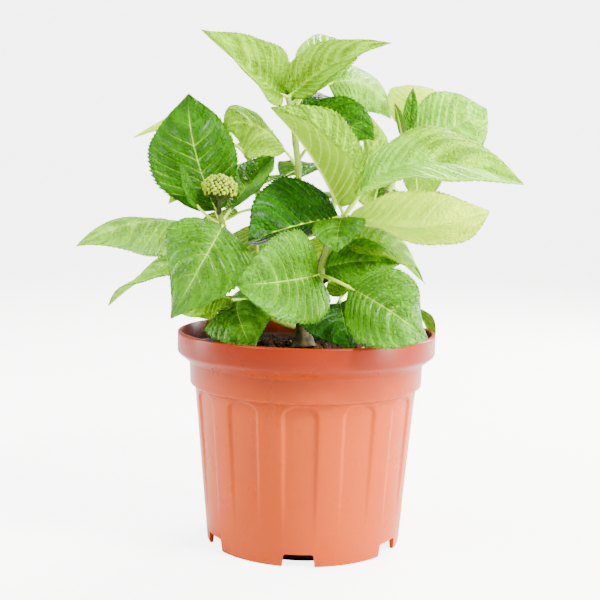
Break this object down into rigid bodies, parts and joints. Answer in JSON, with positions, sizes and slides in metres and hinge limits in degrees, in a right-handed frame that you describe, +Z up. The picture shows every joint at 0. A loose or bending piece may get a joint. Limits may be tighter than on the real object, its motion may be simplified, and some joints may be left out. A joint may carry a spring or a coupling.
{
  "type": "potted hydrangea shrub",
  "caption": "Leafy hydrangea shrub with large opposite toothed leaves and a young green flower head, growing in a fluted round nursery pot filled with potting mix.",
  "frame": {"origin": "the middle of the pot's flat underside, where the plant stands on the ground", "axes": "+Z up along the pot's axis, +X to the plant's right and -Y towards the side with the flower head, which is at the front left"},
  "size_m": [0.2883, 0.2281, 0.3396],
  "materials": {
    "pot_plastic": "terracotta-coloured moulded plastic, soft satin gloss",
    "potting_mix": "dark crumbly peat and bark with a few pale perlite grains",
    "bark": "green-brown young shrub bark with pale pores",
    "foliage": "fresh green leaves with a soft satin face, pale beneath"
  },
  "bodies": {
    "root": {"pot": "pot_plastic", "potting_mix": "potting_mix", "main_stem": "bark", "bough_left_front": "bark", "bough_centre": "bark", "bough_top": "bark", "bough_right_rear": "bark", "bough_left_rear": "bark", "bough_rear": "bark", "foliage_left_front": "foliage", "foliage_centre": "foliage", "foliage_top": "foliage", "foliage_right_rear": "foliage", "foliage_left_rear": "foliage", "foliage_rear": "foliage", "foliage_low_left": "foliage", "foliage_low_right": "foliage"}
  },
  "joints": []
}
